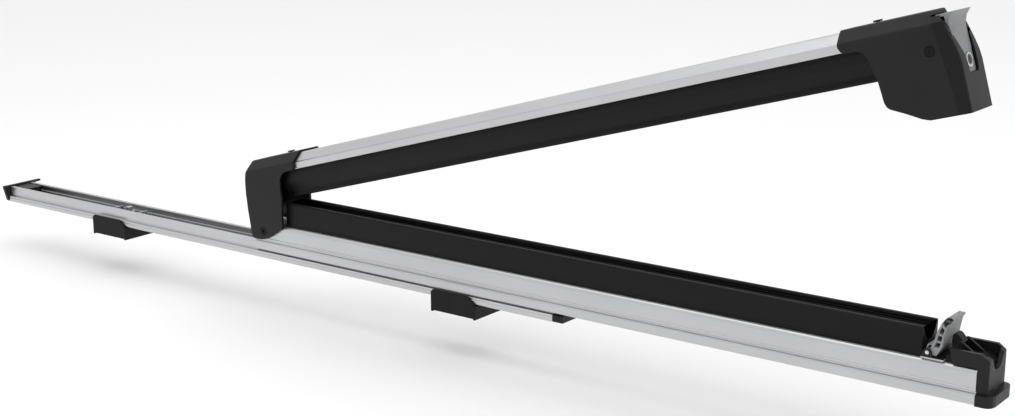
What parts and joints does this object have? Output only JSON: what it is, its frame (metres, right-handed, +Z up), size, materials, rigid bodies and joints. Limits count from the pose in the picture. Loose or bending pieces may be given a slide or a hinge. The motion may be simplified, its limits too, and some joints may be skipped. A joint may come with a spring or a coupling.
{
  "type": "roof ski rack",
  "caption": "Pull-out roof ski rack: a base rail on two feet, a slide rail that draws out over its end, and a hinged clamping arm with facing rubber pads and a locking housing.",
  "frame": {"origin": "middle of the underside of the front foot's sole, where the rack stands on the roof bar", "axes": "+X along the rails from the hinge towards the lock end, +Y square to the rails and level, +Z up"},
  "size_m": [1.031, 0.0446, 0.2791],
  "materials": {
    "aluminium": "satin anodised",
    "black_plastic": "fine textured",
    "grey_plastic": "satin",
    "rubber": "matt",
    "glide": "smooth",
    "zinc": "zinc plated",
    "black_steel": "black zinc plated",
    "chrome": "polished"
  },
  "bodies": {
    "base": {"base_rail": "aluminium", "rear_end_cap": "black_plastic", "front_end_cap": "black_plastic", "base_glide_left": "glide", "base_glide_right": "glide", "front_foot": "black_plastic", "rear_foot": "black_plastic", "front_foot_sole": "rubber", "rear_foot_sole": "rubber", "front_bar_bolt": "zinc", "rear_bar_bolt": "zinc", "front_clamp_plate": "zinc", "rear_clamp_plate": "zinc", "front_clamp_washer": "zinc", "rear_clamp_washer": "zinc", "front_clamp_nut": "zinc", "rear_clamp_nut": "zinc"},
    "slide": {"slide_rail": "aluminium", "slide_glide_left": "glide", "slide_glide_right": "glide", "hinge_block": "black_plastic", "hinge_bush_front": "glide", "hinge_bush_rear": "glide", "lower_pad": "rubber", "outer_end_cap": "black_plastic", "catch_block": "black_plastic", "striker": "black_steel", "lever_base": "black_plastic", "lever_pin": "zinc"},
    "lever": {"release_lever": "grey_plastic"},
    "lock_rod": {"pull_rod": "zinc"},
    "plunger": {"slide_lock_plunger": "zinc"},
    "arm": {"arm_rail": "aluminium", "upper_pad": "rubber", "hinge_bracket": "black_plastic", "pivot_screw": "black_steel", "pivot_nut": "black_steel", "bracket_screw": "black_steel", "lock_housing": "black_plastic", "housing_top_screw": "black_steel", "latch_pin": "black_steel", "pawl_pin": "zinc"},
    "button": {"push_button": "grey_plastic"},
    "cylinder": {"lock_cylinder": "chrome"},
    "hook": {"latch_hook": "black_steel"},
    "pawl": {"release_pawl": "black_steel"}
  },
  "joints": [
    {"name": "slide_out", "type": "slide", "parent": "base", "child": "slide", "axis": [1, 0, 0], "range_m": [-0.331, 0]},
    {"name": "lever_press", "type": "hinge", "parent": "slide", "child": "lever", "pos_m": [0.4045, 0, 0.0495], "axis": [0, -1, 0], "range_deg": [0, 16]},
    {"name": "rod_pull", "type": "slide", "parent": "slide", "child": "lock_rod", "axis": [1, 0, 0], "range_m": [0, 0.0046], "stiffness_N_per_m": 600, "springref_m": -0.0025},
    {"name": "plunger_lift", "type": "slide", "parent": "slide", "child": "plunger", "axis": [0, 0, 1], "range_m": [0, 0.0022]},
    {"name": "arm_hinge", "type": "hinge", "parent": "slide", "child": "arm", "pos_m": [-0.213, 0, 0.0384], "axis": [0, -1, 0], "range_deg": [-16.12, 30]},
    {"name": "button_push", "type": "slide", "parent": "arm", "child": "button", "axis": [-0.9607, 0, -0.2777], "range_m": [0, 0.0025], "stiffness_N_per_m": 600, "springref_m": -0.002},
    {"name": "key_turn", "type": "hinge", "parent": "button", "child": "cylinder", "pos_m": [0.41719, 0, 0.2476], "axis": [0.9607, 0, 0.2777], "range_deg": [0, 90]},
    {"name": "hook_swing", "type": "hinge", "parent": "arm", "child": "hook", "pos_m": [0.39505, 0, 0.25255], "axis": [0, 1, 0], "range_deg": [0, 14]},
    {"name": "pawl_swing", "type": "hinge", "parent": "arm", "child": "pawl", "pos_m": [0.39606, 0, 0.26491], "axis": [0, -1, 0], "range_deg": [0, 22]}
  ],
  "couplings": [
    {"joint": "lever_press", "follows": "rod_pull", "rad_per_m": 60.6},
    {"joint": "plunger_lift", "follows": "rod_pull", "ratio": 0.4545},
    {"joint": "pawl_swing", "follows": "button_push", "rad_per_m": 150}
  ]
}
